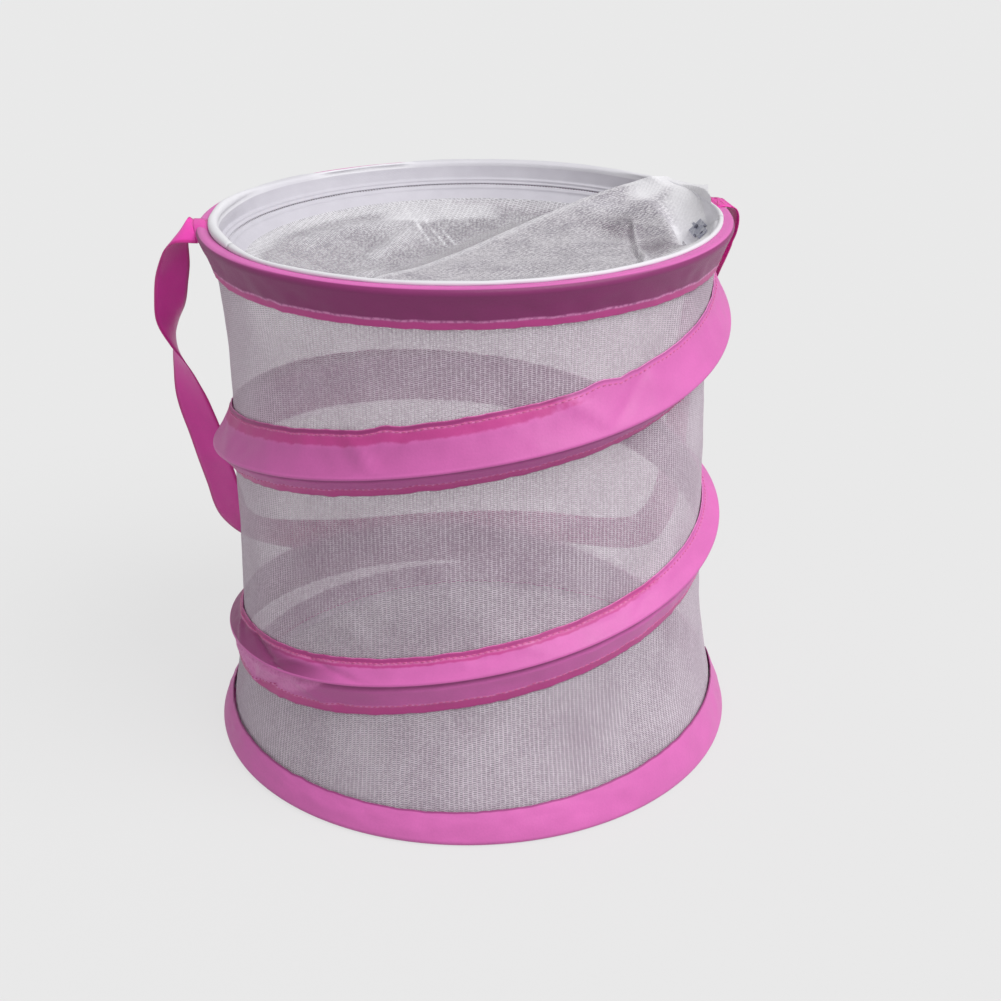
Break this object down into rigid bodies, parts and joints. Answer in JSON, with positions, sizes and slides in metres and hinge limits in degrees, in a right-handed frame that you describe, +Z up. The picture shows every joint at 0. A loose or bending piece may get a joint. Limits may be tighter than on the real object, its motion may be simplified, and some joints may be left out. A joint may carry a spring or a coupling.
{
  "type": "insect cage",
  "caption": "Round pop-up insect cage: sprung wire rings and a spiral in fabric sleeves, net wall, zipped net lid and a carry strap.",
  "frame": {"origin": "centre of the floor, on the plane that the cage stands on", "axes": "+Z up through the lid; -Y is the side towards the viewer in the picture; +X is the side where the slider is parked"},
  "size_m": [0.3351, 0.3144, 0.3115],
  "materials": {
    "pink_taffeta": "woven, slight sheen",
    "pink_ribbon": "satin ribbon",
    "white_net": "fine open net",
    "floor_net": "fine open net",
    "white_tape": "woven tape",
    "white_nylon": "moulded",
    "spring_steel": "drawn wire",
    "crimp_metal": "bare",
    "slider_metal": "polished",
    "tip_plastic": "moulded"
  },
  "bodies": {
    "base": {"bottom_ring_crimp": "crimp_metal", "bottom_ring_wire": "spring_steel", "bottom_sleeve": "pink_taffeta", "floor_panel": "floor_net", "floor_seam_tape": "pink_taffeta", "wall_net": "white_net", "wall_seam_tape": "white_tape", "spiral_wire": "spring_steel", "spiral_sleeve": "pink_taffeta", "spiral_tip_lower": "tip_plastic"},
    "top": {"spiral_tip_upper": "tip_plastic", "top_ring_wire": "spring_steel", "top_ring_crimp": "crimp_metal", "top_sleeve": "pink_taffeta", "rim_zip_tape": "white_tape", "front_hem": "white_tape", "zip_end_tape_right": "white_tape", "zip_end_tape_left": "white_tape", "rim_zip_teeth": "white_nylon", "zip_stop_right": "white_nylon", "zip_stop_left": "white_nylon", "front_net": "white_net", "strap_tab_right": "pink_ribbon", "strap_tab_left": "pink_ribbon"},
    "lid": {"flap_net": "white_net", "flap_zip_tape": "white_tape", "flap_zip_teeth": "white_nylon"},
    "slider": {"zip_slider": "slider_metal"},
    "pull": {"zip_pull": "slider_metal"},
    "strap": {"carry_strap": "pink_ribbon"}
  },
  "joints": [
    {"name": "collapse", "type": "slide", "parent": "base", "child": "top", "axis": [0, 0, 1], "range_m": [-0.262, 0], "stiffness_N_per_m": 30, "springref_m": 0.1, "deforming": ["wall_net", "wall_seam_tape", "spiral_wire", "spiral_sleeve", "carry_strap"]},
    {"name": "zip_travel", "type": "hinge", "parent": "top", "child": "slider", "pos_m": [0, 0, 0.297], "axis": [0, 0, 1], "range_deg": [0, 195]},
    {"name": "pull_flip", "type": "hinge", "parent": "slider", "child": "pull", "pos_m": [0.12925, 0.00847, 0.29919], "axis": [-0.7056, -0.0462, -0.7071], "range_deg": [0, 150]},
    {"name": "lid_fold", "type": "hinge", "parent": "top", "child": "lid", "pos_m": [0.00168, -0.00847, 0.297], "axis": [0.9808, 0.1951, 0], "range_deg": [0, 135]},
    {"name": "strap_swing", "type": "hinge", "parent": "top", "child": "strap", "pos_m": [0, 0, 0.3092], "axis": [0.9914, 0.1305, 0], "range_deg": [0, 150]}
  ]
}
